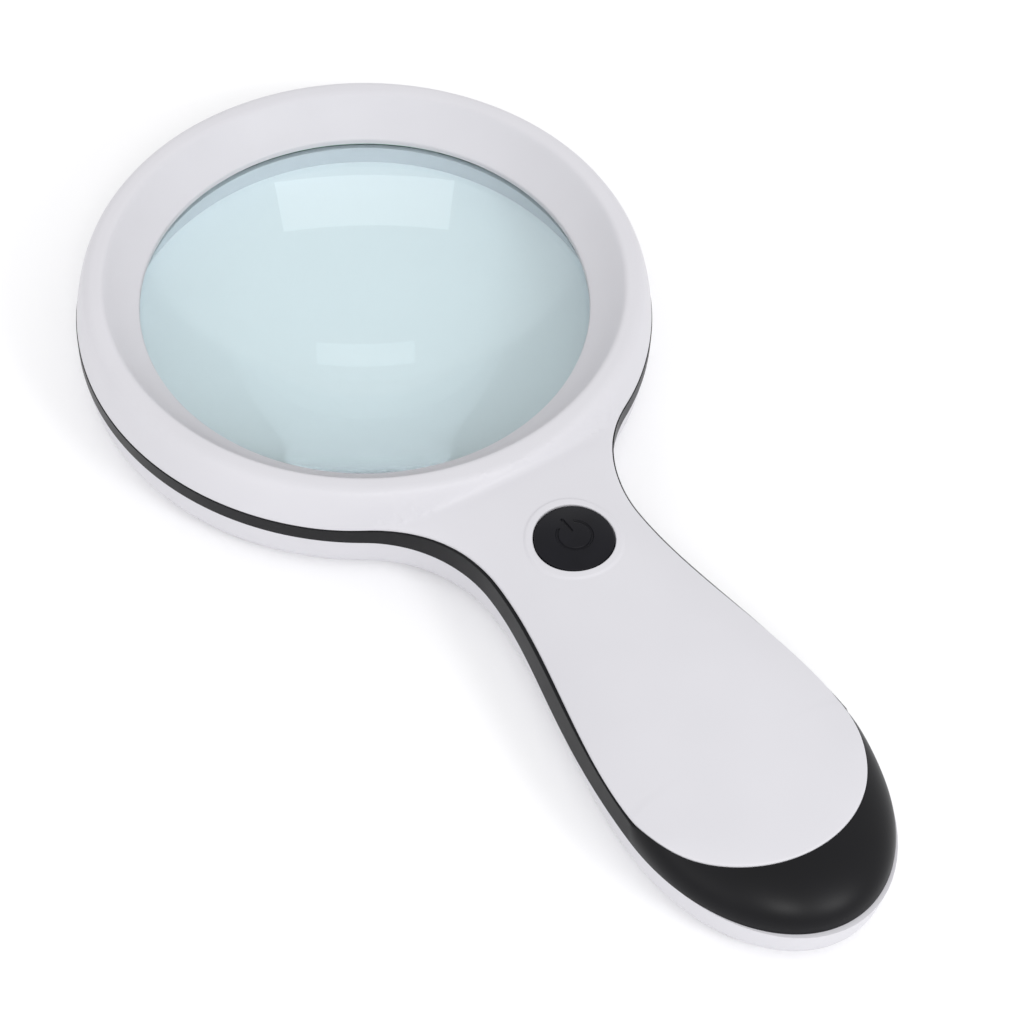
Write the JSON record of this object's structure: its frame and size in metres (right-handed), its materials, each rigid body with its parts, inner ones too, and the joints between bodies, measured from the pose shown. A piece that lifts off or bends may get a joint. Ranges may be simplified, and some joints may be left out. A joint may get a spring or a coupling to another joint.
{
  "type": "low vision magnifier",
  "caption": "Hand-held low vision magnifier: round illuminated lens in a white two-shell casing with a dark middle band, a short handle with a power button and a battery door at the back.",
  "frame": {"origin": "on the flat back, below the middle of the whole body's box; it lies on the back with the lens facing up", "axes": "+Z out of the front through the lens, -Y along the handle from the lens to the butt, +X to the right seen from the front with the lens at the top"},
  "size_m": [0.1282, 0.2451, 0.0251],
  "materials": {
    "white_plastic": "satin moulded, cool white",
    "black_plastic": "satin moulded, near black",
    "button_plastic": "satin moulded, near black",
    "lens_acrylic": "clear, polished, faint blue-green",
    "seal_rubber": "matt",
    "circuit_board": "green solder mask",
    "switch_plastic": "matt",
    "plated_steel": "nickel plated",
    "screw_steel": "zinc plated",
    "led_resin": "clear resin over a pale phosphor",
    "cell_jacket": "printed film, plain grey",
    "red_wire": "insulation",
    "black_wire": "insulation"
  },
  "bodies": {
    "root": {"front_cover": "white_plastic", "mid_frame": "black_plastic", "rear_cover": "white_plastic", "magnifier_lens": "lens_acrylic", "lens_gasket": "seal_rubber", "led_board": "circuit_board", "led_01": "led_resin", "led_02": "led_resin", "led_03": "led_resin", "led_04": "led_resin", "led_05": "led_resin", "led_06": "led_resin", "led_07": "led_resin", "led_08": "led_resin", "led_09": "led_resin", "led_10": "led_resin", "led_11": "led_resin", "led_12": "led_resin", "switch_body": "switch_plastic", "switch_frame": "plated_steel", "main_board": "circuit_board", "driver_chip": "switch_plastic", "board_resistors": "switch_plastic", "battery_1": "cell_jacket", "battery_2": "cell_jacket", "battery_3": "cell_jacket", "battery_spring_1": "plated_steel", "battery_spring_2": "plated_steel", "battery_spring_3": "plated_steel", "contact_positive": "plated_steel", "contact_bridge_neck": "plated_steel", "contact_bridge_butt": "plated_steel", "contact_negative": "plated_steel", "case_screws": "screw_steel", "board_screws": "screw_steel", "led_board_screws": "screw_steel", "led_lead_red": "red_wire", "led_lead_black": "black_wire", "battery_lead_red": "red_wire", "battery_lead_black": "black_wire"},
    "button": {"button_cap": "button_plastic", "switch_plunger": "switch_plastic"},
    "battery_door": {"battery_door": "white_plastic"}
  },
  "joints": [
    {"name": "power_button", "type": "slide", "parent": "root", "child": "button", "axis": [0, 0, -1], "range_m": [0, 0.0008], "stiffness_N_per_m": 800, "springref_m": -0.0008},
    {"name": "door_hinge", "type": "hinge", "parent": "root", "child": "battery_door", "pos_m": [0, -0.04955, 0], "axis": [1, 0, 0], "range_deg": [0, 70]}
  ]
}
